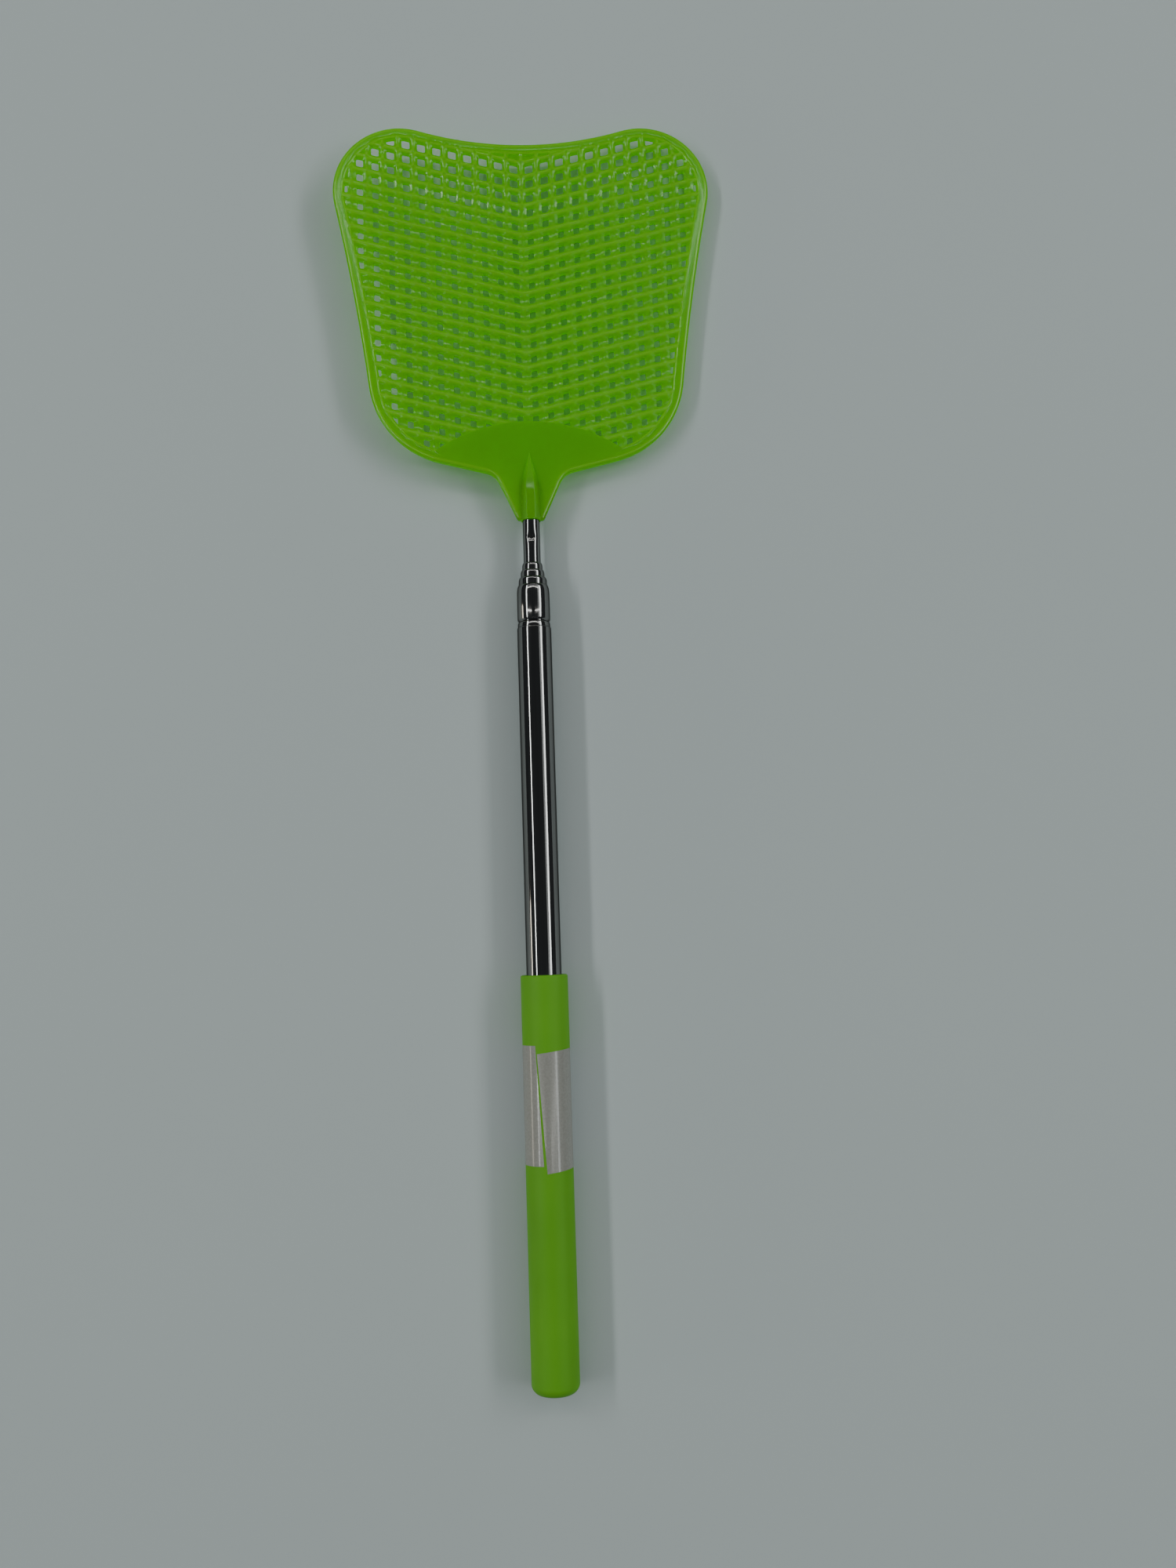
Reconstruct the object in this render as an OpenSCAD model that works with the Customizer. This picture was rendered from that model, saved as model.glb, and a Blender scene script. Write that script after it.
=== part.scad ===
// Telescopic fly swatter, closed up and lying face up.
// The pole runs along +Y with the head at the +Y end, and +Z is up. The origin is on the
// surface that the swatter lies on, under the middle of its length. Millimetres.
// A place along the pole is named "at" and counts from the closed end of the grip.

/* [Head] */
// Height of the head's two lobes above the closed end of the grip: the whole closed length
total_len = 371; // [365:1:380]
// Where the dip between the lobes lies
dip_at = 365.6; // [364:0.1:367]
// Radius of each lobe
lobe_r = 20.2; // [19:0.1:21]
// Distance of each lobe's centre from the middle of the head
lobe_x = 36.8; // [36:0.1:38]
// Radius of the head's long concave sides
side_r = 700; // [400:10:1000]
// Radius of the head's rounded lower corners
corner_r = 27.65; // [26:0.05:29]
// Distance of each lower corner's centre from the middle of the head
corner_x = 19.6; // [19:0.1:20.5]
// Where the lower corners' centres lie
corner_at = 292.5; // [291:0.1:294]
// Slope of the head's lower edge, in degrees
base_slope = 14; // [12:0.5:18]
// Radius of the fillet between the lower edge and the neck
neck_fillet_r = 5.5; // [4:0.5:16]
// Slope of the neck's sides away from the pole, in degrees
neck_slope = 24.5; // [22:0.5:30]
// Half width of the neck at its mouth
mouth_half_w = 3.9; // [3.8:0.1:4.8]
// Where the neck's mouth lies
mouth_at = 247.7; // [246:0.1:249]
// Thickness of the solid rim and of the fan above the neck
rim_t = 2.6; // [2.2:0.1:3.2]
// Width of the solid rim
rim_w = 3.5; // [3:0.1:4]
// How far the head is turned on the pole, its left side up
head_turn = 3; // [-5:0.5:5]

/* [Mesh] */
// Distance from one rib to the next
pitch = 4.65; // [4.5:0.05:5]
// Width of the holes, across the pole
hole_w = 2.4; // [2.2:0.1:2.8]
// Length of the holes, along the pole
hole_l = 2.7; // [2.4:0.1:3]
// How far outside the rim or the fan's edge a hole's centre may lie, the hole being cut off there
hole_over = 0.3; // [0:0.1:0.5]
// Where the lowest chevron rib crosses the middle rib
first_rib_at = 280.6; // [279:0.1:282]
// Rise of the chevron ribs for each millimetre away from the middle
chevron_rise = 0.245; // [0.22:0.005:0.27]
// Thickness of the mesh between the rib crests
mesh_t = 1.7; // [1.4:0.1:2]
// Radius of the arc where the mesh meets the fan
fan_r = 49; // [46:1:52]
// Where the top of that arc lies
fan_top_at = 278.1; // [277:0.1:279]

/* [Pole] */
// Outer diameter of the fixed outer tube
outer_d = 10; // [9.8:0.05:10.2]
// Where the outer tube's open end lies
outer_top_at = 215.2; // [214:0.1:216]
// Where the outer tube's lower end lies, inside the grip
outer_foot_at = 90; // [88:1:94]
// Where the mouth ferrule's shoulder ends
ferrule_top_at = 228.1; // [227:0.1:229]
// Distance from the rim of each tube to the rim of the next
rim_step = 2.2; // [2:0.1:2.4]
// Length of each sliding tube that ends in a rolled rim
section_len = 132; // [126:1:132]
// Wall of the sliding tubes
tube_wall = 0.25; // [0.2:0.01:0.27]

/* [Grip] */
// Outer diameter of the grip
grip_d = 13.5; // [13.2:0.1:14]
// Length of the grip
grip_len = 114.5; // [112:0.5:117]
// Radius of the grip's closed end
grip_end_r = 2.7; // [2:0.1:3]
// Thickness of the two paper labels
label_t = 0.12; // [0.1:0.01:0.2]

/* [Hidden] */
$fn = 96;
lime = [0.42, 0.78, 0.06];
steel = [0.72, 0.72, 0.73];
brass = [0.80, 0.62, 0.30];
eps = 0.01;

grip_r = grip_d / 2;
axis_z = grip_r;

// Sliding tubes, from the widest (4) to the narrowest (1), which carries the head
run = 0.05;                          // radial clearance of everything that slides or turns
outer_r = outer_d / 2;
outer_bore_r = outer_r - 0.3;
tube_r = [0, 2.5, 3.0, 3.5, 4.15];   // outer radius of tubes 1 to 4
lip_h = 1.2;                         // depth of a rolled rim
bead_h = 0.5;                        // length of each of the two beads that hold the shells
bead_r = 0.12;                       // how far a bead stands out
shell_len = 8;
ferrule_foot_at = outer_top_at - 6;
ferrule_bore_r = tube_r[4] + run;
function tube_top_at(k) = ferrule_top_at + rim_step * (5 - k);
function tube_foot_at(k) = tube_top_at(k) - section_len;
function bore_round(k) = k == 4 ? outer_bore_r : tube_r[k + 1] - tube_wall;

// The head end of tube 1, its crimp and the core inside it
tube_1_top_at = mouth_at + 11.3;
crimp_at = 242.3;
crimp_r = 1.25;
crimp_depth = 0.75;
core_foot_at = 237.5;
core_top_at = tube_1_top_at + 1.2;
core_r = tube_r[1] - tube_wall;

// The socket boss on the neck
boss_h = 3.6;
boss_foot_half_w = 2.85;
boss_top_half_w = 1.35;
boss_taper_at = 258.8;
boss_tip_at = 268.3;

// Arcs that make up the head's outline, each found from its neighbours
lobe_c = [lobe_x, total_len - lobe_r];
corner_c = [corner_x, corner_at];
dip_over = dip_at - lobe_c.y;
dip_r = (lobe_x ^ 2 + dip_over ^ 2 - lobe_r ^ 2) / (2 * (lobe_r - dip_over));
dip_c = [0, dip_at + dip_r];
side_c = meeting(lobe_c, side_r + lobe_r, corner_c, side_r + corner_r);
along_base = [cos(base_slope), sin(base_slope)];
off_base = [sin(base_slope), -cos(base_slope)];
along_neck = [sin(neck_slope), cos(neck_slope)];
off_neck = [cos(neck_slope), -sin(neck_slope)];
fillet_c = crossing(
    corner_c + (corner_r + neck_fillet_r) * off_base, along_base,
    [mouth_half_w, mouth_at] + neck_fillet_r * off_neck, along_neck);
tip_r = 1.1;
tip_c = crossing(
    [mouth_half_w, mouth_at] - tip_r * off_neck, along_neck,
    [0, mouth_at + tip_r], [1, 0]);

// Point to the right where a circle of radius r1 round c1 meets one of radius r2 round c2
function meeting(c1, r1, c2, r2) =
    let(d = c2 - c1, len = norm(d), along = (len ^ 2 + r1 ^ 2 - r2 ^ 2) / (2 * len))
    c1 + (d * along + sqrt(r1 ^ 2 - along ^ 2) * [-d.y, d.x]) / len;

// Point where the line through p along u crosses the line through q along v
function crossing(p, u, q, v) =
    p + u * ((q.x - p.x) * v.y - (q.y - p.y) * v.x) / (u.x * v.y - u.y * v.x);

function heading(from, to) = atan2(to.y - from.y, to.x - from.x);

function arc(c, r, from, to, steps) =
    [for (i = [0:steps]) let(a = from + (to - from) * i / steps) c + r * [cos(a), sin(a)]];

// Right half of the head above its lower corners, moved in by "inset"
function upper_half(inset) = concat(
    arc(dip_c, dip_r + inset, -90, heading(dip_c, lobe_c), 10),
    arc(lobe_c, lobe_r - inset, heading(lobe_c, dip_c), heading(lobe_c, side_c), 18),
    arc(side_c, side_r + inset, heading(side_c, lobe_c) + 360, heading(side_c, corner_c) + 360, 8),
    arc(corner_c, corner_r - inset, heading(corner_c, side_c), base_slope - 90, 12));

function neck_half() = concat(
    arc(fillet_c, neck_fillet_r, 90 + base_slope, 180 - neck_slope, 10),
    arc(tip_c, tip_r, -neck_slope, -90, 4));

// Both halves as one closed outline, from the right half's points
function mirrored(half) =
    concat(half, [for (i = [len(half) - 1:-1:0]) [-half[i].x, half[i].y]]);

// Whether p lies inside the closed outline pts
function inside(p, pts) =
    let(n = len(pts), cuts = [for (i = [0:n - 1])
        let(a = pts[i], b = pts[(i + 1) % n])
        if ((a.y > p.y) != (b.y > p.y) && p.x < a.x + (p.y - a.y) * (b.x - a.x) / (b.y - a.y)) 1])
    len(cuts) % 2 == 1;

fan_c_at = fan_top_at - fan_r;
field = mirrored(upper_half(rim_w));
hole_keep = mirrored(upper_half(rim_w - hole_over));
columns = floor(lobe_x / pitch) + ceil(lobe_r / pitch);
rows = ceil((total_len - first_rib_at) / pitch);
low_rows = 6;                        // rows beside the fan, below the lowest crossing

// Centre of the mesh hole in a column and a row, counted from the lowest rib crossing
function hole_x(i) = (i + 0.5) * pitch;
function hole_at(x, j) = first_rib_at + (j + 0.5) * pitch + chevron_rise * abs(x);

// Places a child that is drawn round +Z, with its own zero at a place along the pole
module on_pole(at = 0) {
    translate([0, at - total_len / 2, axis_z]) rotate([-90, 0, 0]) children();
}

// Raises a child that is drawn in the plane of the head, from z0 to z1 off the pole's axis
module in_plane(z0, z1) {
    translate([0, -total_len / 2, axis_z + z0]) linear_extrude(z1 - z0) children();
}

module mesh_hole(x, j) {
    w = hole_w / 2;
    l = hole_l / 2;
    rise = chevron_rise * sign(x) * w;
    at = hole_at(x, j);
    polygon([[x - w, at - l - rise], [x + w, at - l + rise],
             [x + w, at + l + rise], [x - w, at + l - rise]]);
}

module mesh_holes() {
    for (i = [-columns:columns - 1], j = [-low_rows:rows]) {
        p = [hole_x(i), hole_at(hole_x(i), j)];
        clear_of_fan = norm(p - [0, fan_c_at]) > fan_r - hole_over;
        if (clear_of_fan && inside(p, hole_keep)) mesh_hole(p.x, j);
    }
}

// The area that is open mesh, between the rim and the fan
module mesh_field() {
    difference() {
        polygon(field);
        translate([0, fan_c_at]) circle(fan_r);
    }
}

module boss_section() {
    polygon([[boss_top_half_w, boss_h], [boss_foot_half_w, rim_t / 2],
             [boss_foot_half_w, -rim_t / 2], [boss_top_half_w, -boss_h],
             [-boss_top_half_w, -boss_h], [-boss_foot_half_w, -rim_t / 2],
             [-boss_foot_half_w, rim_t / 2], [-boss_top_half_w, boss_h]]);
}

// Turns a child on the pole's axis
module on_swivel(angle) {
    translate([0, 0, axis_z]) rotate([0, angle, 0]) translate([0, 0, -axis_z]) children();
}

module swatter_head() {
    outline = mirrored(concat(upper_half(0), neck_half()));
    color(lime) on_swivel(head_turn) difference() {
        union() {
            in_plane(-mesh_t / 2, mesh_t / 2) difference() {
                polygon(outline);
                intersection() {
                    mesh_holes();
                    mesh_field();
                }
            }
            in_plane(-rim_t / 2, rim_t / 2) difference() {
                polygon(outline);
                mesh_field();
            }
            on_pole(mouth_at) linear_extrude(boss_taper_at - mouth_at) boss_section();
            hull() {
                on_pole(boss_taper_at - eps) linear_extrude(eps) boss_section();
                on_pole(boss_tip_at) linear_extrude(eps) square([0.3, rim_t], center = true);
            }
        }
        on_pole(mouth_at - 1) cylinder(tube_1_top_at - mouth_at + 1, r = tube_r[1]);
        on_pole(mouth_at - 1) cylinder(core_top_at - mouth_at + 1, r = core_r);
    }
}

// The core inside tube 1 that the crimp bites into. It reaches past the tube into the head.
module crimp_core() {
    color(lime) difference() {
        on_pole(core_foot_at) cylinder(core_top_at - core_foot_at, r = core_r);
        at_crimp() cylinder(tube_r[1], r = crimp_r);
    }
}

// Places a child that is drawn round +Z on the floor of the crimp, in the pole's upper side
module at_crimp() {
    translate([0, crimp_at - total_len / 2, axis_z + tube_r[1] - tube_wall - crimp_depth])
        children();
}

// Tube 1: plain at the head end, with a crimp dished into its upper side
module tube_1() {
    foot = tube_foot_at(1);
    flat_r = crimp_r * 0.5;
    color(steel) {
        difference() {
            union() {
                on_pole(foot) cylinder(tube_1_top_at - foot, r = tube_r[1]);
                shell_beads(1);
            }
            on_pole(foot - 1) cylinder(tube_1_top_at - foot + 2, r = core_r);
            at_crimp() cylinder(tube_r[1], r = crimp_r - eps);
        }
        intersection() {
            on_pole(foot) cylinder(tube_1_top_at - foot, r = tube_r[1]);
            at_crimp() rotate_extrude() polygon([
                [0, 0], [crimp_r, 0], [crimp_r, tube_r[1]], [crimp_r - 0.1, tube_r[1]],
                [crimp_r - 0.2, crimp_depth], [flat_r, tube_wall], [0, tube_wall]]);
        }
    }
}

// The two beads near a tube's foot that hold its friction shells in place
module shell_beads(k) {
    on_pole(tube_foot_at(k)) cylinder(bead_h, r = tube_r[k] + bead_r);
    on_pole(tube_foot_at(k) + bead_h + shell_len) cylinder(bead_h, r = tube_r[k] + bead_r);
}

// Tubes 2 to 4: a thin tube with a rim rolled in to guide the next tube
module rimmed_tube(k) {
    foot = tube_foot_at(k);
    top = section_len;
    r = tube_r[k];
    guide_r = tube_r[k - 1] + run;
    roll = r - guide_r;
    color(steel) {
        difference() {
            union() {
                on_pole(foot) rotate_extrude() polygon(concat(
                    [[0, 0], [r, 0]],
                    arc([guide_r, top - roll], roll, 0, 90, 6),
                    [[0, top]]));
                shell_beads(k);
            }
            on_pole(foot - 1) cylinder(top - lip_h + 1, r = r - tube_wall);
            on_pole(foot) cylinder(top + 1, r = guide_r);
        }
    }
}

module tube_2() { rimmed_tube(2); }
module tube_3() { rimmed_tube(3); }
module tube_4() { rimmed_tube(4); }

// One of the two sprung brass half shells between a tube's foot and the next tube's bore.
// Those on tube 1 have clearance inside as well, so that the tube turns in them.
module friction_shell(k, side) {
    slack = k == 1 ? run : 0;
    split = 0.8;
    reach = outer_d;
    color(brass) intersection() {
        on_pole(tube_foot_at(k) + bead_h + slack) difference() {
            cylinder(shell_len - 2 * slack, r = bore_round(k) - run);
            translate([0, 0, -1]) cylinder(shell_len + 2, r = tube_r[k] + slack);
        }
        translate([side > 0 ? split / 2 : -split / 2 - reach,
                   tube_foot_at(k) - total_len / 2, axis_z - reach])
            cube([reach, shell_len + 2, 2 * reach]);
    }
}

module friction_shell_1a() { friction_shell(1, 1); }
module friction_shell_1b() { friction_shell(1, -1); }
module friction_shell_2a() { friction_shell(2, 1); }
module friction_shell_2b() { friction_shell(2, -1); }
module friction_shell_3a() { friction_shell(3, 1); }
module friction_shell_3b() { friction_shell(3, -1); }
module friction_shell_4a() { friction_shell(4, 1); }
module friction_shell_4b() { friction_shell(4, -1); }

// The fixed tube, with a shallow glue groove just inside the grip's mouth
module outer_tube() {
    groove = 0.1;
    edge = 0.3;
    color(steel) on_pole() rotate_extrude() polygon(concat(
        [[outer_bore_r, outer_foot_at], [outer_r, outer_foot_at],
         [outer_r, grip_len - 1], [outer_r - groove, grip_len - 0.8],
         [outer_r - groove, grip_len - 0.2], [outer_r, grip_len]],
        arc([outer_r - edge, outer_top_at - edge], edge, 0, 90, 5),
        [[outer_bore_r, outer_top_at]]));
}

// The turned collar pressed into the outer tube's mouth: it guides tube 4 and stops its shells
module mouth_ferrule() {
    body_r = outer_r - 0.2;
    seat_r = body_r - 0.05;
    groove_at = outer_top_at + 1.8;
    groove_r = body_r - 0.45;
    shoulder_r = 1.2;
    shoulder_c = [body_r - shoulder_r, ferrule_top_at - shoulder_r];
    color(steel) on_pole() rotate_extrude() polygon(concat(
        [[ferrule_bore_r, ferrule_foot_at], [outer_bore_r, ferrule_foot_at],
         [outer_bore_r, outer_top_at], [seat_r, outer_top_at],
         [seat_r, groove_at - 0.3], [groove_r, groove_at - 0.05],
         [groove_r, groove_at + 0.05], [body_r, groove_at + 0.35]],
        arc(shoulder_c, shoulder_r, 0, acos((ferrule_bore_r + 0.1 - shoulder_c.x) / shoulder_r), 8),
        [[ferrule_bore_r, ferrule_top_at - 0.25]]));
}

// Closes the outer tube's foot, so that the sliding tubes stop short of the grip's end
module tube_end_plug() {
    flange_t = 1.5;
    color([0.2, 0.2, 0.2]) {
        on_pole(outer_foot_at - flange_t) cylinder(flange_t, r = outer_r);
        on_pole(outer_foot_at - eps) cylinder(4, r = outer_bore_r);
    }
}

module grip() {
    seat_at = outer_foot_at - 1.5;
    floor_t = 4;
    hollow_r = 4.2;
    edge = 0.5;
    color(lime) on_pole() rotate_extrude() polygon(concat(
        [[0, 0]],
        arc([grip_r - grip_end_r, grip_end_r], grip_end_r, -90, 0, 8),
        arc([grip_r - edge, grip_len - edge], edge, 0, 90, 4),
        [[outer_r, grip_len], [outer_r, seat_at], [hollow_r, seat_at],
         [hollow_r, floor_t], [0, floor_t]]));
}

// A paper label round the grip, inside an outline that is drawn in plan: "over" on the upper
// half, which has the slanted edges, and "under" on the lower half
module label(from_at, to_at, over, under) {
    color([0.93, 0.93, 0.91]) intersection() {
        on_pole(from_at) difference() {
            cylinder(to_at - from_at, r = grip_r + label_t);
            translate([0, 0, -1]) cylinder(to_at - from_at + 2, r = grip_r);
        }
        union() {
            in_plane(0, grip_d) polygon(over);
            in_plane(-grip_d, eps) polygon(under);
        }
    }
}

module label_left() {
    label(61.5, 95.2,
        [[-8, 62], [-1.3, 62], [-2.9, 95], [-8, 95]],
        [[-8, 62], [-1.5, 62], [-1.5, 95], [-8, 95]]);
}

module label_right() {
    label(59.5, 94.2,
        [[-0.4, 60], [8, 61], [8, 94], [-2.46, 92.7]],
        [[1.5, 60.2], [8, 61], [8, 94], [1.5, 93.2]]);
}

grip();
label_left();
label_right();
outer_tube();
tube_end_plug();
mouth_ferrule();
tube_4();
friction_shell_4a();
friction_shell_4b();
tube_3();
friction_shell_3a();
friction_shell_3b();
tube_2();
friction_shell_2a();
friction_shell_2b();
tube_1();
friction_shell_1a();
friction_shell_1b();
crimp_core();
swatter_head();
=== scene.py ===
"""Looks of the telescopic fly swatter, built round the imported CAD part.

Places on the object are in millimetres: x across the pole, "at" along it from the closed end of
the grip, and "up" from the pole's axis. Everything else is in metres, in the CAD part's frame.
"""
from math import asin, atan2, cos, degrees, exp, hypot, pi, radians, sin, sqrt, tan

import bmesh
import bpy
import numpy as np
from mathutils import Matrix, Vector


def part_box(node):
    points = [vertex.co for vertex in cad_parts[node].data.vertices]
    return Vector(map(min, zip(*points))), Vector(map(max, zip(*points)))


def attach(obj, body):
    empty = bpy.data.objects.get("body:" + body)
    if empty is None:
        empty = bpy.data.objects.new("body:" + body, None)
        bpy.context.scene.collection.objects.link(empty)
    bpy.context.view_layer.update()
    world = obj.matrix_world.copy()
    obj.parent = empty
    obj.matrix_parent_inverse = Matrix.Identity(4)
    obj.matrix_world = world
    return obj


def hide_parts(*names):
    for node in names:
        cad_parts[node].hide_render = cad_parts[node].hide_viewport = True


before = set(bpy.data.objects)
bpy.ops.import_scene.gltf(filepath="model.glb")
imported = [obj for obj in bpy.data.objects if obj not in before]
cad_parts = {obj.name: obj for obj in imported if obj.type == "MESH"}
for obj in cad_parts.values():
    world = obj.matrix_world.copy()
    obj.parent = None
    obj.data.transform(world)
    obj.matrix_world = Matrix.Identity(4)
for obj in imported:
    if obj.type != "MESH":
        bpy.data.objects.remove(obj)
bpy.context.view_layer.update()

MM = 0.001
grip_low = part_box("grip")[0]
outer_low, outer_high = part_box("outer_tube")
AXIS_UP = (outer_low[2] + outer_high[2]) / 2       # height of the pole's axis
FOOT_Y = grip_low[1]                               # where "at" is zero
HEAD_TURN = 3.0                                    # degrees round the pole, the left side up


def place(x, at, up):
    """A point on the object, in metres in the row frame."""
    return Vector((x * MM, FOOT_Y + at * MM, AXIS_UP + up * MM))


def at_of(y):
    """How far along the pole a row-frame y lies, in millimetres."""
    return (y - FOOT_Y) / MM


# ---------------------------------------------------------------- camera, lights and floor

def aim(obj, target, up):
    """Turns a camera or light so that its -Z points at target and its +Y lies towards up."""
    back = (obj.location - target).normalized()
    side = up.cross(back).normalized()
    obj.rotation_euler = Matrix((side, back.cross(side), back)).transposed().to_euler()


def add_camera():
    """The camera is held over the grip's mouth and tilted towards the head, and is turned a
    little, so that the pole leans in the picture."""
    spot = place(12.8, 123.7, 399.5)
    target = place(14.3, 168.8, 0)
    top_of_picture = Vector((0.0326, 1, 0))
    data = bpy.data.cameras.new("camera")
    data.sensor_width = 36
    data.lens = 31.86
    data.clip_start = 0.01
    cam = bpy.data.objects.new("camera", data)
    cam.location = spot
    aim(cam, target, top_of_picture)
    bpy.context.collection.objects.link(cam)
    bpy.context.scene.camera = cam


def add_strip(name, spot, along, length, width, power, colour):
    """A long soft light aimed at the middle of the object, its length lying along "along"."""
    data = bpy.data.lights.new(name, "AREA")
    data.shape = "RECTANGLE"
    data.size = width
    data.size_y = length
    data.energy = power
    data.color = colour
    lamp = bpy.data.objects.new(name, data)
    lamp.location = spot
    aim(lamp, Vector((0, 0, 0)), Vector(along))
    bpy.context.collection.objects.link(lamp)


def add_lights():
    """Long tubes under a ceiling, some beside the pole and along it and some in rows across it.
    A broad light beyond the head and a low, yellower lamp at the left add to them."""
    ceiling = 1.8
    along, across = (0, 1, 0), (1, 0, 0)
    cool, warm, yellow = (0.95, 1.0, 1.0), (1.0, 0.99, 0.96), (1.0, 0.93, 0.78)
    # Name, degrees to the right of straight up, width and power
    beside = (
        ("left", -46, 0.18, 20.5),
        ("right", 50, 0.52, 25.5),
        ("right_inner", 38, 0.35, 2))
    for name, tilt, width, power in beside:
        spot = (ceiling * tan(radians(tilt)), 0.45, ceiling)
        add_strip("strip_" + name, spot, along, 2.8, width, power, cool)
    # Name, y as a share of the ceiling's height, x, length and power
    rows = (
        ("far_head", 1.49, 0, 3.4, 2),
        ("head", 0.641, 0, 3.4, 6),
        ("grip_left", -0.207, -1.05, 1.4, 2.2),
        ("grip_right", -0.207, 1.05, 1.4, 1.5),
        ("far_grip", -1.057, 0, 3.4, 1.5))
    row_width = 0.045
    for name, slope, x, length, power in rows:
        spot = (x, slope * ceiling, ceiling)
        add_strip("row_" + name, spot, across, length, row_width, power, warm)
    add_strip("wall", (0, 1.55, ceiling), across, length=3.0, width=1.0, power=2, colour=cool)
    low_spot = (-ceiling, -0.3, 0.3)
    add_strip("left_low", low_spot, along, length=0.75, width=0.24, power=2.8, colour=yellow)


def add_world():
    """The even, faint light that comes from everywhere else in the room."""
    world = bpy.data.worlds.new("world")
    world.use_nodes = True
    background = world.node_tree.nodes["Background"]
    background.inputs["Color"].default_value = (0.86, 0.95, 1.0, 1)
    background.inputs["Strength"].default_value = 0.055
    bpy.context.scene.world = world


# ---------------------------------------------------------------- materials

class Nodes:
    """A material's node tree, with a short way to add nodes and link them."""

    def __init__(self, name):
        self.material = bpy.data.materials.new(name)
        self.material.use_nodes = True
        self.tree = self.material.node_tree
        self.shader = self.tree.nodes["Principled BSDF"]
        self.output = self.tree.nodes["Material Output"]

    def add(self, kind, **values):
        """Adds a node. A value names one of its inputs, or else one of its own settings."""
        node = self.tree.nodes.new(kind)
        for key, value in values.items():
            if hasattr(node, key):
                setattr(node, key, value)
            else:
                self.feed(node.inputs[key.replace("_", " ")], value)
        return node

    def feed(self, socket, value):
        """Links an output to a socket, or sets the socket to a plain value."""
        if hasattr(value, "is_output"):
            self.tree.links.new(value, socket)
        else:
            socket.default_value = value

    def set(self, **values):
        """Feeds the shader's inputs, each named with _ for a space."""
        for key, value in values.items():
            self.feed(self.shader.inputs[key.replace("_", " ")], value)

    def coords(self, stretch=(1, 1, 1)):
        """The piece's own coordinates, in metres, times stretch."""
        own = self.add("ShaderNodeTexCoord")
        scaled = self.add("ShaderNodeMapping", Vector=own.outputs["Object"])
        scaled.inputs["Scale"].default_value = stretch
        return scaled.outputs["Vector"]

    def noise(self, scale, detail=3.0, stretch=(1, 1, 1)):
        node = self.add("ShaderNodeTexNoise", Vector=self.coords(stretch))
        node.inputs["Scale"].default_value = scale
        node.inputs["Detail"].default_value = detail
        return node.outputs["Fac"]

    def remap(self, value, low, high, to_low, to_high):
        """Value with low to high stretched to lie between to_low and to_high, and clamped there."""
        node = self.add("ShaderNodeMapRange", Value=value)
        node.inputs["From Min"].default_value = low
        node.inputs["From Max"].default_value = high
        node.inputs["To Min"].default_value = to_low
        node.inputs["To Max"].default_value = to_high
        return node.outputs["Result"]

    def blend(self, factor, a, b):
        """Colour a where factor is 0, and colour b where it is 1."""
        factor_in, a_in, b_in, colour_out = 0, 6, 7, 2
        node = self.add("ShaderNodeMix", data_type="RGBA")
        self.feed(node.inputs[factor_in], factor)
        self.feed(node.inputs[a_in], a)
        self.feed(node.inputs[b_in], b)
        return node.outputs[colour_out]

    def bump(self, height, strength, distance):
        node = self.add("ShaderNodeBump", Height=height)
        node.inputs["Strength"].default_value = strength
        node.inputs["Distance"].default_value = distance
        return node.outputs["Normal"]


def rgb(r, g, b):
    return (r, g, b, 1.0)


def crest_highlight_mask(m):
    """1 along the crests of the head's ribs, on either face, and 0 between them and on the rim,
    which stands higher. It places a painted highlight: the crests are coloured paler, as if
    more light fell on them, in place of the highlights that light puts along them."""
    starts, full = 0.85 * MM, 1.15 * MM
    below_rim, rim = 1.22 * MM, 1.28 * MM
    turn = radians(HEAD_TURN)
    across = m.add("ShaderNodeVectorMath", operation="DOT_PRODUCT")
    m.feed(across.inputs[0], m.coords())
    across.inputs[1].default_value = (sin(turn), 0, cos(turn))
    over = m.add("ShaderNodeMath", operation="SUBTRACT")
    m.feed(over.inputs[0], across.outputs["Value"])
    over.inputs[1].default_value = AXIS_UP * cos(turn)
    height = m.add("ShaderNodeMath", operation="ABSOLUTE")
    m.feed(height.inputs[0], over.outputs[0])
    rising = m.remap(height.outputs[0], starts, full, 0, 1)
    both = m.add("ShaderNodeMath", operation="MULTIPLY")
    m.feed(both.inputs[0], rising)
    m.feed(both.inputs[1], m.remap(height.outputs[0], below_rim, rim, 1, 0))
    return both.outputs[0]


def head_plastic():
    """Thin polypropylene that lets light through, with faint flow marks, a fair gloss and painted
    highlights on its rib crests.
    """
    let_through = 0.7
    m = Nodes("head_plastic")
    flow = m.noise(55, detail=4, stretch=(1, 0.35, 1))
    speckle = m.noise(900, detail=2)
    colour = m.blend(m.remap(flow, 0.3, 0.7, 0, 1), rgb(0.22, 0.52, 0.01), rgb(0.25, 0.58, 0.014))
    # Painted highlight: the rib crests, and a thin band on the rim's domed edge, get a paler colour,
    # both on the surface and in the light let through.
    crest = crest_highlight_mask(m)
    colour = m.blend(crest, colour, rgb(0.42, 0.78, 0.05))
    m.set(Base_Color=colour, IOR=1.65, Roughness=m.remap(speckle, 0.3, 0.7, 0.11, 0.15))
    m.set(Specular_IOR_Level=0.7, Normal=m.bump(speckle, 0.08, 0.00003))
    through = m.add("ShaderNodeBsdfTranslucent")
    m.feed(through.inputs["Color"], m.blend(crest, rgb(0.44, 1.0, 0.012), rgb(0.5, 1.0, 0.025)))
    mix = m.add("ShaderNodeMixShader")
    mix.inputs[0].default_value = let_through
    m.feed(mix.inputs[1], m.shader.outputs[0])
    m.feed(mix.inputs[2], through.outputs[0])
    m.feed(m.output.inputs["Surface"], mix.outputs[0])
    return m.material


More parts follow.
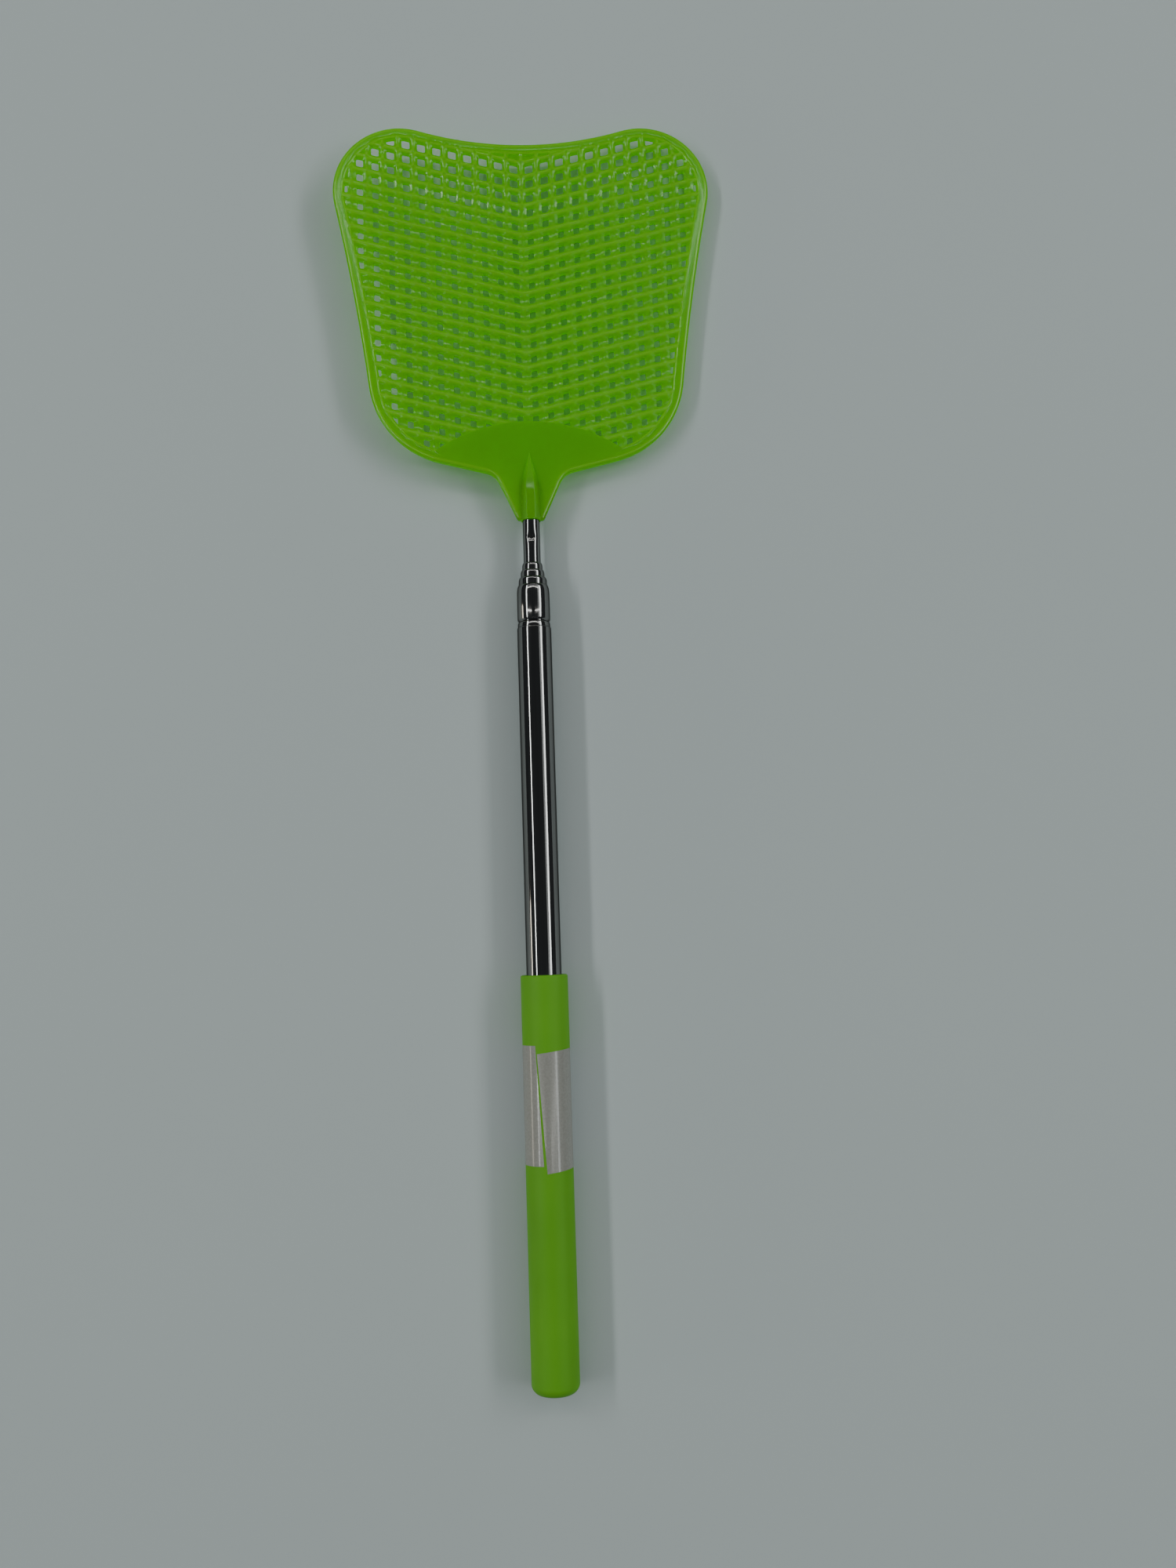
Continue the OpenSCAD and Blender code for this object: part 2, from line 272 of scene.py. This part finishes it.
def grip_plastic():
    """The same green, moulded thicker, with a smooth satin surface and light handling marks."""
    m = Nodes("grip_plastic")
    cloud = m.noise(40, detail=3)
    grain = m.noise(1400, detail=2)
    wear = m.noise(260, detail=5, stretch=(1, 0.15, 1))
    colour = m.blend(m.remap(cloud, 0.3, 0.7, 0, 1), rgb(0.115, 0.385, 0.006), rgb(0.13, 0.425, 0.008))
    colour = m.blend(m.remap(wear, 0.62, 0.8, 0, 0.25), colour, rgb(0.17, 0.46, 0.03))
    m.set(Base_Color=colour, Roughness=m.remap(wear, 0.35, 0.75, 0.55, 0.68), IOR=1.49)
    m.set(Specular_IOR_Level=0.35, Subsurface_Weight=0.25, Subsurface_Scale=0.002)
    m.shader.inputs["Subsurface Radius"].default_value = (0.5, 1.0, 0.08)
    m.set(Normal=m.bump(grain, 0.1, 0.00006))
    return m.material


def tube_steel():
    """Bright drawn stainless steel, with fine lengthwise draw lines and a few smudges."""
    m = Nodes("tube_steel")
    draw = m.noise(2600, detail=3, stretch=(1, 0.012, 1))
    smudge = m.noise(70, detail=4, stretch=(1, 0.5, 1))
    colour = m.blend(m.remap(draw, 0.3, 0.7, 0, 1), rgb(0.235, 0.23, 0.225), rgb(0.285, 0.28, 0.275))
    rough = m.add("ShaderNodeMath", operation="ADD")
    m.feed(rough.inputs[0], m.remap(draw, 0.3, 0.7, 0.03, 0.06))
    m.feed(rough.inputs[1], m.remap(smudge, 0.5, 0.75, 0.02, 0.08))
    m.set(Base_Color=colour, Metallic=1.0, Roughness=rough.outputs[0])
    m.set(Specular_Tint=rgb(0.25, 0.25, 0.25), Normal=m.bump(draw, 0.02, 0.00001))
    return m.material


def label_paper():
    """White paper under clear film: faint fibres, soft creases and an even gloss."""
    m = Nodes("label_paper")
    fibre = m.noise(1500, detail=4)
    crease = m.noise(120, detail=3, stretch=(1, 0.12, 1))
    colour = m.blend(m.remap(fibre, 0.3, 0.7, 0, 1), rgb(0.275, 0.271, 0.24), rgb(0.325, 0.321, 0.288))
    m.set(Base_Color=colour, Roughness=0.5, Coat_Weight=0.7, Coat_Roughness=0.12)
    m.set(Normal=m.bump(crease, 0.35, 0.0002))
    return m.material


def shell_brass():
    """Sprung brass strip, for the friction shells inside the pole."""
    m = Nodes("shell_brass")
    grain = m.noise(1800, detail=3, stretch=(1, 0.1, 1))
    colour = m.blend(m.remap(grain, 0.3, 0.7, 0, 1), rgb(0.62, 0.42, 0.16), rgb(0.78, 0.58, 0.26))
    m.set(Base_Color=colour, Metallic=1.0, Roughness=m.remap(grain, 0.3, 0.7, 0.22, 0.34))
    return m.material


def plug_plastic():
    """Plain black plastic, for the plug in the outer tube's foot."""
    m = Nodes("plug_plastic")
    grain = m.noise(1200, detail=2)
    m.set(Base_Color=m.blend(grain, rgb(0.02, 0.02, 0.02), rgb(0.05, 0.05, 0.05)))
    m.set(Roughness=m.remap(grain, 0.3, 0.7, 0.4, 0.55))
    return m.material


def floor_material():
    """The pale blue-grey table top."""
    m = Nodes("floor")
    cloud = m.noise(3, detail=2)
    m.set(Base_Color=m.blend(cloud, rgb(0.50, 0.565, 0.56), rgb(0.53, 0.595, 0.59)))
    m.set(Roughness=0.55, Specular_IOR_Level=0.25)
    return m.material


# ---------------------------------------------------------------- mesh helpers

def new_object(name, points, faces):
    """A mesh object from millimetre points on the pole, (x, at, up) each."""
    mesh = bpy.data.meshes.new(name)
    mesh.from_pydata([place(*p) for p in points], [], faces)
    mesh.update()
    obj = bpy.data.objects.new(name, mesh)
    bpy.context.collection.objects.link(obj)
    return obj


def tidy(obj, weld=0.0):
    """Welds doubles, turns the faces outwards and leaves triangles and quads only."""
    bm = bmesh.new()
    bm.from_mesh(obj.data)
    if weld:
        bmesh.ops.remove_doubles(bm, verts=bm.verts, dist=weld)
    bmesh.ops.triangulate(bm, faces=[f for f in bm.faces if len(f.verts) > 4])
    bmesh.ops.recalc_face_normals(bm, faces=bm.faces)
    bm.to_mesh(obj.data)
    bm.free()


def shade(obj, angle=35):
    """Smooth shading, with an edge kept sharp where its faces meet at more than angle."""
    obj.data.polygons.foreach_set("use_smooth", [True] * len(obj.data.polygons))
    obj.data.set_sharp_from_angle(angle=radians(angle))
    obj.data.update()


def apply_modifiers(obj):
    graph = bpy.context.evaluated_depsgraph_get()
    mesh = bpy.data.meshes.new_from_object(obj.evaluated_get(graph))
    obj.modifiers.clear()
    old, obj.data = obj.data, mesh
    bpy.data.meshes.remove(old)


def combine(obj, other, operation):
    """Cuts obj with other, joins them or keeps what they share, and removes other."""
    mod = obj.modifiers.new("boolean", "BOOLEAN")
    mod.operation = operation
    mod.solver = "MANIFOLD"
    mod.object = other
    apply_modifiers(obj)
    bpy.data.objects.remove(other)


def arc(centre, radius, start, end, steps):
    """Points along an arc, from one angle to the other in degrees."""
    turn = np.radians(np.linspace(start, end, steps + 1))
    return [(centre[0] + radius * cos(t), centre[1] + radius * sin(t)) for t in turn]


def circle(centre, radius):
    """A whole circle, with a point every 3 degrees."""
    return arc(centre, radius, 0, 357, 119)


def rounding(steps):
    """Angles from 0 to a right angle, for rounding an edge."""
    return np.linspace(0, pi / 2, steps + 1)


def lathe(name, profile, segments=160):
    """Turns a closed profile of (at, radius) points round the pole's axis."""
    ring = [2 * pi * i / segments for i in range(segments)]
    points = [(r * sin(t), at, r * cos(t)) for at, r in profile for t in ring]
    rows = len(profile)
    faces = []
    for j in range(rows):
        a, b = j * segments, (j + 1) % rows * segments
        for i in range(segments):
            k = (i + 1) % segments
            faces.append((a + i, a + k, b + k, b + i))
    obj = new_object(name, points, faces)
    tidy(obj, weld=1e-7)
    shade(obj)
    return obj


def loft(name, levels):
    """A closed solid through flat outlines of equal length: (points, up) for each, upwards."""
    count = len(levels[0][0])
    points = [(x, at, up) for outline, up in levels for x, at in outline]
    faces = [tuple(reversed(range(count))), tuple(range(len(points) - count, len(points)))]
    for j in range(len(levels) - 1):
        for i in range(count):
            k = (i + 1) % count
            faces.append((j * count + i, j * count + k, (j + 1) * count + k, (j + 1) * count + i))
    obj = new_object(name, points, faces)
    tidy(obj)
    return obj


def finish_piece(obj, material, slot, body, *nodes):
    """Gives a piece its material, the body it rides on and the nodes it replaces; slot is not used."""
    obj.data.materials.clear()
    obj.data.materials.append(material)
    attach(obj, body)
    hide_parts(*nodes)


# ---------------------------------------------------------------- the head

# The CAD head's own sizes. The outline is a dip between two lobes, long concave sides, and lower
# corners whose edges run into the neck.
DIP_AT, LOBE, LOBE_R = 365.6, (36.8, 350.8), 20.2
CORNER, CORNER_R, SIDE_R = (19.6, 292.5), 27.65, 700.0
BASE_SLOPE, NECK_SLOPE = 14.0, 24.5                # degrees
FILLET_R, TIP_R = 5.5, 1.1
MOUTH_AT, MOUTH_HALF_W = 247.7, 3.9
RIM_W, RIM_HALF_T = 3.5, 1.3
FAN_R, FAN_TOP_AT = 49.0, 278.1
PITCH, FIRST_RIB_AT, CHEVRON_RISE = 4.65, 280.6, 0.245
HOLE_OVER = 0.3                                    # how far into the rim or fan a hole's centre may lie
BOSS_H, BOSS_TAPER_AT, BOSS_TIP_AT = 3.6, 258.8, 268.3


def heading(a, b):
    """Direction from a to b in degrees."""
    return degrees(atan2(b[1] - a[1], b[0] - a[0]))


def meeting(c1, r1, c2, r2):
    """Point to the right where a circle round c1 meets one round c2."""
    dx, dy = c2[0] - c1[0], c2[1] - c1[1]
    gap = hypot(dx, dy)
    along = (gap ** 2 + r1 ** 2 - r2 ** 2) / (2 * gap)
    off = sqrt(r1 ** 2 - along ** 2)
    return (c1[0] + (dx * along - dy * off) / gap, c1[1] + (dy * along + dx * off) / gap)


def crossing(p, u, q, v):
    """Point where the line through p along u crosses the line through q along v."""
    t = ((q[0] - p[0]) * v[1] - (q[1] - p[1]) * v[0]) / (u[0] * v[1] - u[1] * v[0])
    return (p[0] + t * u[0], p[1] + t * u[1])


DIP_OVER = DIP_AT - LOBE[1]
DIP_R = (LOBE[0] ** 2 + DIP_OVER ** 2 - LOBE_R ** 2) / (2 * (LOBE_R - DIP_OVER))
DIP = (0.0, DIP_AT + DIP_R)
SIDE = meeting(LOBE, SIDE_R + LOBE_R, CORNER, SIDE_R + CORNER_R)
BASE, NECK = radians(BASE_SLOPE), radians(NECK_SLOPE)
FILLET = crossing(
    (CORNER[0] + (CORNER_R + FILLET_R) * sin(BASE), CORNER[1] - (CORNER_R + FILLET_R) * cos(BASE)),
    (cos(BASE), sin(BASE)),
    (MOUTH_HALF_W + FILLET_R * cos(NECK), MOUTH_AT - FILLET_R * sin(NECK)),
    (sin(NECK), cos(NECK)))
TIP = crossing(
    (MOUTH_HALF_W - TIP_R * cos(NECK), MOUTH_AT + TIP_R * sin(NECK)), (sin(NECK), cos(NECK)),
    (0, MOUTH_AT + TIP_R), (1, 0))
FAN = (0.0, FAN_TOP_AT - FAN_R)


def upper_half(inset):
    """The right half of the head's outline above its lower corner, moved in by inset."""
    return (
        arc(DIP, DIP_R + inset, -90, heading(DIP, LOBE), 20)
        + arc(LOBE, LOBE_R - inset, heading(LOBE, DIP), heading(LOBE, SIDE), 44)
        + arc(SIDE, SIDE_R + inset, heading(SIDE, LOBE) + 360, heading(SIDE, CORNER) + 360, 20)
        + arc(CORNER, CORNER_R - inset, heading(CORNER, SIDE), BASE_SLOPE - 90, 30))


def neck_half(inset):
    """The rest of the right half, from the lower corner to the middle of the neck's mouth."""
    smallest_r = 0.04
    return (
        arc(FILLET, FILLET_R + inset, 90 + BASE_SLOPE, 180 - NECK_SLOPE, 20)
        + arc(TIP, max(TIP_R - inset, smallest_r), -NECK_SLOPE, -90, 8)
        + [(0.0, MOUTH_AT + inset)])


def both_sides(half):
    """The whole closed outline from its right half, leaving out doubled points on the middle."""
    left = [(-x, at) for x, at in reversed(half) if x > 1e-6]
    return half + left


def inside(p, outline):
    """Whether a point lies inside a closed outline."""
    result = False
    for (ax, ay), (bx, by) in zip(outline, outline[1:] + outline[:1]):
        if (ay > p[1]) != (by > p[1]) and p[0] < ax + (p[1] - ay) * (bx - ax) / (by - ay):
            result = not result
    return result


def head_plate():
    """The whole outline as a plate whose edge is domed, with the open mesh area cut out."""
    dome_w = 1.7                                   # how far in from the edge the dome reaches
    side_up = 0.45                                 # half height of the upright side below it
    skin = 0.04                                    # keeps the plate inside the CAD outline
    edge = []
    for turn in rounding(8):
        edge.append((skin + dome_w * (1 - cos(turn)), side_up + (RIM_HALF_T - side_up) * sin(turn)))
    levels = [(inset, -up) for inset, up in reversed(edge)] + edge
    plate = loft("head_plate", [(both_sides(upper_half(i) + neck_half(i)), up) for i, up in levels])
    # Heights, and how much nearer the outline the cut comes there, which rounds the rim's inside
    flare = [(0.4, 0), (0.8, -0.2), (1.1, -0.45), (1.3, -0.9), (1.7, -1.3)]
    walls = [(-up, i) for up, i in reversed(flare)] + flare
    cutter = loft("field", [(both_sides(upper_half(RIM_W + i)), up) for up, i in walls])
    taller = 1.1                                   # so that the fan reaches out of the cutter
    fan = loft("fan", [(circle(FAN, FAN_R + i / 2), up * taller) for up, i in walls])
    combine(cutter, fan, "DIFFERENCE")
    combine(plate, cutter, "DIFFERENCE")
    return plate


def thinning(row):
    """0 over most of the mesh, and 1 at its far end, where it is thinnest and most open."""
    first, rows = 11, 5
    return min(max((row - first) / rows, 0), 1)


def half_hole(row):
    """Half of a hole's width and of its length along the pole."""
    t = thinning(row)
    return 0.92 + 0.3 * t, 1.2 + 0.25 * t


def rib_height(row, a, b):
    """Height of the mesh's surface at distances a and b from the middles of the nearest upright
    and chevron ribs. The chevrons stand highest, and the upright ribs sag between them."""
    land = 0.6 - 0.3 * thinning(row)               # round the holes
    between = 0.8 + 0.16 * thinning(row)           # on an upright, halfway between two chevrons
    at_crossing = 0.28                             # how much higher an upright is at a chevron
    crest = 1.2                                    # on a chevron
    upright_half_w, chevron_half_w = 1.15, 1.05
    near = cos(pi * b / PITCH) ** 2
    upright = (between - land + at_crossing * near) * max(1 - (a / upright_half_w) ** 2, 0)
    chevron = (crest - land) * max(1 - (b / chevron_half_w) ** 2, 0)
    # Fifth powers follow the higher rib closely, with a soft join between the two
    return land + (upright ** 5 + chevron ** 5) ** 0.2


def mesh_ribs():
    """Crossing ribs as a closed sheet with a hole in every cell, on a grid that is finer over
    the ribs than over the holes."""
    columns, low_rows, rows = 13, 7, 20            # enough to cover the head on every side
    steps = 10                                     # grid steps in a cell
    first, last = 3, 7                             # the grid lines along its hole's edges
    corner_cut = 0.13                              # takes the point off a hole's corner
    keep = both_sides(upper_half(RIM_W - HOLE_OVER))
    edge = both_sides(upper_half(1.0))
    points, index, tops = [], {}, []

    def offset(k, half):
        """Distance of grid line k from its cell's first rib, for a hole of this half width."""
        near = (0, 0.3, 0.7, PITCH / 2 - half, PITCH / 2 - half + 0.45, PITCH / 2)
        return near[k] if k <= 5 else PITCH - near[steps - k]

    def corner(i, j):
        """The top point at a grid crossing; its mirror point below follows it in the list."""
        if (i, j) not in index:
            (col, a), (row, b) = divmod(i, steps), divmod(j, steps)
            half_w, half_l = half_hole(row)
            x, y = offset(a, half_w), offset(b, half_l)
            up = rib_height(row, min(x, PITCH - x), min(y, PITCH - y))
            if a in (first, last) and b in (first, last):
                x += corner_cut if a == first else -corner_cut
                y += corner_cut if b == first else -corner_cut
            x += col * PITCH
            at = FIRST_RIB_AT + row * PITCH + y + CHEVRON_RISE * abs(x)
            index[i, j] = len(points)
            points.extend([(x, at, up), (x, at, -up)])
        return index[i, j]

    reach = PITCH * 0.75                           # a cell is made if the head holds a point so near
    into_fan = 1.6 * PITCH                         # and if its middle lies no deeper in the fan
    for col in range(-columns, columns):
        for row in range(-low_rows, rows):
            x = (col + 0.5) * PITCH
            at = FIRST_RIB_AT + (row + 0.5) * PITCH + CHEVRON_RISE * abs(x)
            around = [(x + dx, at + dy) for dx in (-reach, 0, reach) for dy in (-reach, 0, reach)]
            from_fan = hypot(x, at - FAN[1]) - FAN_R
            if from_fan < -into_fan or not any(inside(p, edge) for p in around):
                continue
            opened = inside((x, at), keep) and from_fan > -HOLE_OVER
            for a in range(steps):
                for b in range(steps):
                    if opened and first <= a < last and first <= b < last:
                        continue
                    i, j = col * steps + a, row * steps + b
                    square = ((i, j), (i + 1, j), (i + 1, j + 1), (i, j + 1))
                    tops.append(tuple(corner(*grid_point) for grid_point in square))
    sides = {side for f in tops for side in zip(f, f[1:] + f[:1])}
    faces = tops + [tuple(k + 1 for k in reversed(f)) for f in tops]
    faces += [(q, p, p + 1, q + 1) for p, q in sides if (q, p) not in sides]
    return new_object("mesh_ribs", points, faces)


def head_mesh():
    """The open mesh, cut to end inside the rim and the fan."""
    in_rim, in_fan = 2.5, 1.0                      # in from the outline, and from the fan's edge
    ribs = mesh_ribs()
    bounds = loft("bounds", [(both_sides(upper_half(in_rim)), up) for up in (-3, 3)])
    combine(ribs, bounds, "INTERSECT")
    fan = loft("fan_core", [(circle(FAN, FAN_R - in_fan), up) for up in (-4, 4)])
    combine(ribs, fan, "DIFFERENCE")
    return ribs


def boss_section(across, over):
    """The socket boss's cross-section as (x, up) points, a ridge above and one below, scaled
    across the pole and in height."""
    top_w, foot_w, foot_up, corner_r = 1.42, 2.85, 1.1, 0.5
    quarter = [(foot_w + 0.12, 0.3), (foot_w + 0.05, foot_up), (foot_w - 0.12, foot_up + 0.45)]
    quarter += arc((top_w - corner_r + 0.08, BOSS_H - corner_r), corner_r, 20, 90, 7)
    right = [(x, -up) for x, up in reversed(quarter)] + quarter
    whole = right + [(-x, up) for x, up in reversed(right)]
    return [(x * across, up * over) for x, up in whole]


def head_boss():
    """The ridge that holds the tube: even over the socket, then drawn in to a point that lies
    level with the fan."""
    earlier = 3.0                                  # a smooth taper starts earlier than the CAD's
    taper_from = BOSS_TAPER_AT - earlier
    taper = BOSS_TIP_AT - taper_from
    sunk = RIM_HALF_T / BOSS_H                     # the height at the point, as a share of the whole
    narrowing = 0.94
    # Where each section lies, and its share of the width and of the height; the mouth is eased
    stations = [(MOUTH_AT, 0.97, 0.97), (MOUTH_AT + 0.12, 0.99, 0.99), (MOUTH_AT + 0.35, 1.0, 1.0)]
    for t in np.linspace(0, 1, 26):
        across = 1 - narrowing * t ** 1.5
        over = 1 - (1 - sunk) * t ** 1.4
        stations.append((taper_from + taper * t, across, over))
    points = []
    for at, across, over in stations:
        points += [(x, at, up) for x, up in boss_section(across, over)]
    count = len(boss_section(1, 1))
    faces = [tuple(range(count)), tuple(reversed(range(len(points) - count, len(points))))]
    for j in range(len(stations) - 1):
        for i in range(count):
            k = (i + 1) % count
            faces.append((j * count + i, (j + 1) * count + i, (j + 1) * count + k, j * count + k))
    boss = new_object("boss", points, faces)
    tidy(boss)
    return boss


def head_socket():
    """The space that tube 1 and, a little deeper, its core take up in the head."""
    tube_r, core_r = 2.51, 2.26
    opening, tube_end, core_end = MOUTH_AT - 2, MOUTH_AT + 11.3, MOUTH_AT + 12.6
    profile = [
        (opening, 0), (opening, tube_r), (tube_end, tube_r),
        (tube_end, core_r), (core_end, core_r), (core_end, 0)]
    return lathe("socket", profile, 96)


def build_head(material):
    """The whole head as one piece, turned round the pole as it lies in the photograph."""
    head = head_plate()
    combine(head, head_mesh(), "UNION")
    combine(head, head_boss(), "UNION")
    combine(head, head_socket(), "DIFFERENCE")
    head.name = head.data.name = "mesh_head"
    pole = Matrix.Translation(place(0, 0, 0))
    head.data.transform(pole @ Matrix.Rotation(radians(HEAD_TURN), 4, "Y") @ pole.inverted())
    tidy(head)
    shade(head, 40)
    head.modifiers.new("even_normals", "WEIGHTED_NORMAL").keep_sharp = True
    apply_modifiers(head)
    finish_piece(head, material, "head_plastic", "head_section", "swatter_head")


# ---------------------------------------------------------------- the pole and grip

RUN = 0.05                                # radial clearance of the sliding tubes
TUBE_R = {1: 2.5, 2: 3.0, 3: 3.5, 4: 4.15}
TUBE_WALL = 0.25
BEAD_R, BEAD_H, SHELL_LEN = 0.12, 0.5, 8.0
CRIMP_AT, CRIMP_R, CRIMP_DEPTH = 242.3, 1.4, 0.42


def beads(foot, r):
    """The outside of a tube's foot, with the two beads that hold its friction shells."""
    slope = 0.02                                   # length of the slope beside a bead
    bead = r + BEAD_R
    second = foot + BEAD_H + SHELL_LEN
    return [
        (foot, bead), (foot + BEAD_H, bead), (foot + BEAD_H + slope, r),
        (second - slope, r), (second, bead), (second + BEAD_H, bead), (second + BEAD_H + slope, r)]


def rimmed_tube(k, material, body):
    """A sliding tube with its top rolled in round the next tube."""
    low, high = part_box(f"tube_{k}")
    foot, top = at_of(low[1]), at_of(high[1])
    r = TUBE_R[k]
    guide = TUBE_R[k - 1] + RUN
    roll = r - guide
    roll_len = 1.0
    lip = 1.2
    profile = [(foot, r - TUBE_WALL)] + beads(foot, r)
    for turn in rounding(12):
        profile.append((top - roll_len * (1 - sin(turn)), guide + roll * cos(turn)))
    profile += [(top - 0.05, guide), (top - lip, guide), (top - lip, r - TUBE_WALL)]
    finish_piece(lathe(f"sliding_tube_{k}", profile), material, "tube_steel", body, f"tube_{k}")


def head_tube(material):
    """Tube 1, with the crimp pressed into its upper side: a bowl with a raised ring in it, in a
    wider and shallower dent."""
    ring_r, ring_w, ring_h = 0.7, 0.2, 0.1
    dent_w, dent_len, dent_depth = 1.5, 2.0, 0.17
    low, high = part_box("tube_1")
    foot, top = at_of(low[1]), at_of(high[1])
    r = TUBE_R[1]
    near, fine = 5.0, 0.09                         # the stretch with fine rings, and their spacing
    crimped = np.arange(CRIMP_AT - near, CRIMP_AT + near + 0.01, fine)
    outside = beads(foot, r) + [(at, r) for at in crimped] + [(top, r)]
    profile = [(foot, r - TUBE_WALL)] + outside + [(top, r - TUBE_WALL)]
    tube = lathe("sliding_tube_1", profile, 320)
    centre = place(0, CRIMP_AT, r)
    # Only the outside is pressed in. The bore is left round, and the floor of the bowl, which is
    # deeper than the wall, passes through it.
    for v in tube.data.vertices:
        x, y, z = (v.co - centre) / MM
        up = z + r
        if up < 0 or abs(y) > near or hypot(x, up) < r - 0.1:
            continue
        angle = atan2(x, up)
        d = hypot(angle * r, y)
        bowl = CRIMP_DEPTH * cos(pi / 2 * min(d / CRIMP_R, 1)) ** 2
        ring = ring_h * exp(-((d - ring_r) / ring_w) ** 2)
        dent = dent_depth * exp(-(hypot(angle * r / dent_w, y / dent_len)) ** 2)
        shrink = (r - bowl - dent + ring) / r
        v.co.x *= shrink
        v.co.z = AXIS_UP + (v.co.z - AXIS_UP) * shrink
    shade(tube)
    finish_piece(tube, material, "tube_steel", "head_section", "tube_1")


def fixed_tube(material):
    """The outer tube, with its rim softened."""
    low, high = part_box("outer_tube")
    foot, top = at_of(low[1]), at_of(high[1])
    r, bore, edge = 5.0, 4.7, 0.28
    profile = [(foot, bore), (foot, r)]
    profile += [(top - edge * (1 - sin(turn)), r - edge * (1 - cos(turn))) for turn in rounding(6)]
    profile += [(top, bore)]
    finish_piece(lathe("fixed_tube", profile), material, "tube_steel", "handle", "outer_tube")


def ferrule(material):
    """The collar in the outer tube's mouth, with its turned groove and rounded shoulder."""
    low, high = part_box("mouth_ferrule")
    foot, top = at_of(low[1]), at_of(high[1])
    seat = foot + 6
    body, bore, pressed_r = 4.8, 4.2, 4.69
    groove, depth = seat + 1.8, 0.45
    round_len, round_h = 2.6, body - bore
    profile = [(foot, bore), (foot, pressed_r), (seat, pressed_r)]
    profile += [(seat, body - 0.16), (seat + 0.1, body - 0.06)]
    profile += [(groove - 0.6, body - 0.05), (groove - 0.4, body - 0.14), (groove - 0.06, body - depth)]
    profile += [(groove + 0.06, body - depth), (groove + 0.4, body - 0.14), (groove + 0.6, body)]
    for turn in rounding(14):
        profile.append((top - round_len * (1 - sin(turn)), bore + round_h * cos(turn)))
    profile += [(top - 0.05, bore)]
    finish_piece(lathe("mouth_collar", profile), material, "tube_steel", "handle", "mouth_ferrule")


def grip(material):
    """The closed sleeve: a rounded end, a softened mouth and the bore that holds the tube."""
    length, r, end_r, edge = 114.5, 6.735, 2.7, 0.6
    seat, bore, hollow, end_wall = 88.5, 5.01, 4.2, 4
    profile = [(0, 0)]
    for turn in rounding(13):
        profile.append((end_r * (1 - cos(turn)), r - end_r * (1 - sin(turn))))
    profile += [(at, r) for at in np.linspace(6, length - 4, 24)]
    for turn in rounding(8):
        profile.append((length - edge * (1 - sin(turn)), r - edge * (1 - cos(turn))))
    profile += [(length, 5.35), (length - 0.15, 5.1), (length - 0.6, bore), (seat, bore)]
    profile += [(seat, hollow), (end_wall, hollow), (end_wall, 0)]
    finish_piece(lathe("grip_sleeve", profile, 192), material, "grip_plastic", "handle", "grip")


def label(name, node, material, side, ends, slope, top_x, under_x):
    """A paper label round one side of the grip, 1 for the right and -1 for the left, between two
    ends along the pole, which lean by slope. top_x is where its free edge on the upper side lies
    at each end, and under_x is where the one on the lower side lies."""
    r, thick = 6.76, 0.1
    rows, columns = 46, 60
    points = []
    for j in range(rows + 1):
        free_x = top_x[0] + (top_x[1] - top_x[0]) * j / rows
        start, stop = asin(free_x / r), side * pi - asin(under_x / r)
        for i in range(columns + 1):
            turn = start + (stop - start) * i / columns
            at = ends[0] + (ends[1] - ends[0]) * j / rows + slope * r * sin(turn)
            points.append((r * sin(turn), at, r * cos(turn)))
    faces = []
    for j in range(rows):
        for i in range(columns):
            k = j * (columns + 1) + i
            faces.append((k, k + columns + 1, k + columns + 2, k + 1))
    obj = new_object(name, points, faces)
    mod = obj.modifiers.new("thickness", "SOLIDIFY")
    mod.thickness = thick * MM
    mod.offset = side
    apply_modifiers(obj)
    tidy(obj)
    shade(obj)
    finish_piece(obj, material, "label_paper", "handle", node)


def build_labels(material):
    label("paper_label_left", "label_left", material, -1, (62, 95), 0, (-1.3, -2.9), -1.5)
    label("paper_label_right", "label_right", material, 1, (60.05, 93.0), 0.123, (-0.4, -2.46), 1.5)


# ---------------------------------------------------------------- everything together

def add_floor():
    """The table top that the swatter lies on."""
    half = 6.0
    corners = [(-half, -half, 0), (half, -half, 0), (half, half, 0), (-half, half, 0)]
    mesh = bpy.data.meshes.new("floor")
    mesh.from_pydata(corners, [], [(0, 1, 2, 3)])
    floor = bpy.data.objects.new("floor", mesh)
    floor.data.materials.append(floor_material())
    bpy.context.collection.objects.link(floor)


def dress_node(node, material):
    """Gives a CAD node that stays its own material."""
    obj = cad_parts[node]
    for slot in obj.material_slots:
        slot.material = material


add_camera()
add_lights()
add_world()
add_floor()

steel = tube_steel()
green_head = head_plastic()
build_head(green_head)
head_tube(steel)
rimmed_tube(2, steel, "section_2")
rimmed_tube(3, steel, "section_3")
rimmed_tube(4, steel, "section_4")
fixed_tube(steel)
ferrule(steel)
grip(grip_plastic())
build_labels(label_paper())

brass = shell_brass()
for k in (1, 2, 3, 4):
    for half in "ab":
        dress_node(f"friction_shell_{k}{half}", brass)
dress_node("tube_end_plug", plug_plastic())
dress_node("crimp_core", green_head)
